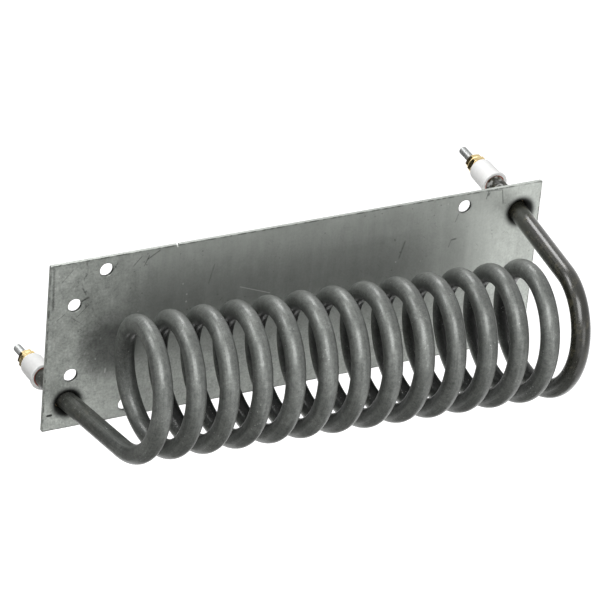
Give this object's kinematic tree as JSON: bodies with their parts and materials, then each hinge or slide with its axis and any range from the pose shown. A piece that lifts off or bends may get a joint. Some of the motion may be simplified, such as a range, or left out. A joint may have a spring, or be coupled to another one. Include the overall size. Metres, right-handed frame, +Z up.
{
  "type": "tubular heating element",
  "caption": "Air heater element: a sheathed tube wound into a long coil, its legs brazed through a drilled mounting plate and ending in threaded ceramic-insulated terminals.",
  "frame": {"origin": "middle of the mounting plate's coil-side face", "axes": "+X along the plate's length towards the right-hand leg, +Y through the plate from the coil to the terminals, +Z up"},
  "size_m": [0.3048, 0.1751, 0.1038],
  "materials": {
    "galvanised_sheet": "zinc-coated sheet with fine streaks and handling scratches",
    "sheath_steel": "dark oxidised steel tube, satin",
    "magnesia": "pressed white powder, matt",
    "resistance_wire": "bright drawn wire",
    "stud_steel": "nickel-plated steel, semi-bright",
    "seal_compound": "red-brown set compound, matt",
    "glazed_ceramic": "white glaze",
    "brass": "bright machined brass",
    "braze": "dull brazed fillet"
  },
  "bodies": {
    "root": {"mounting_plate": "galvanised_sheet", "sheath": "sheath_steel", "magnesia_fill": "magnesia", "resistance_coil": "resistance_wire", "terminal_pin_left": "stud_steel", "end_seal_left": "seal_compound", "ceramic_bush_left": "glazed_ceramic", "seat_nut_left": "brass", "washer_left": "brass", "clamp_nut_left": "brass", "braze_ring_left": "braze", "terminal_pin_right": "stud_steel", "end_seal_right": "seal_compound", "ceramic_bush_right": "glazed_ceramic", "seat_nut_right": "brass", "washer_right": "brass", "clamp_nut_right": "brass", "braze_ring_right": "braze"}
  },
  "joints": []
}
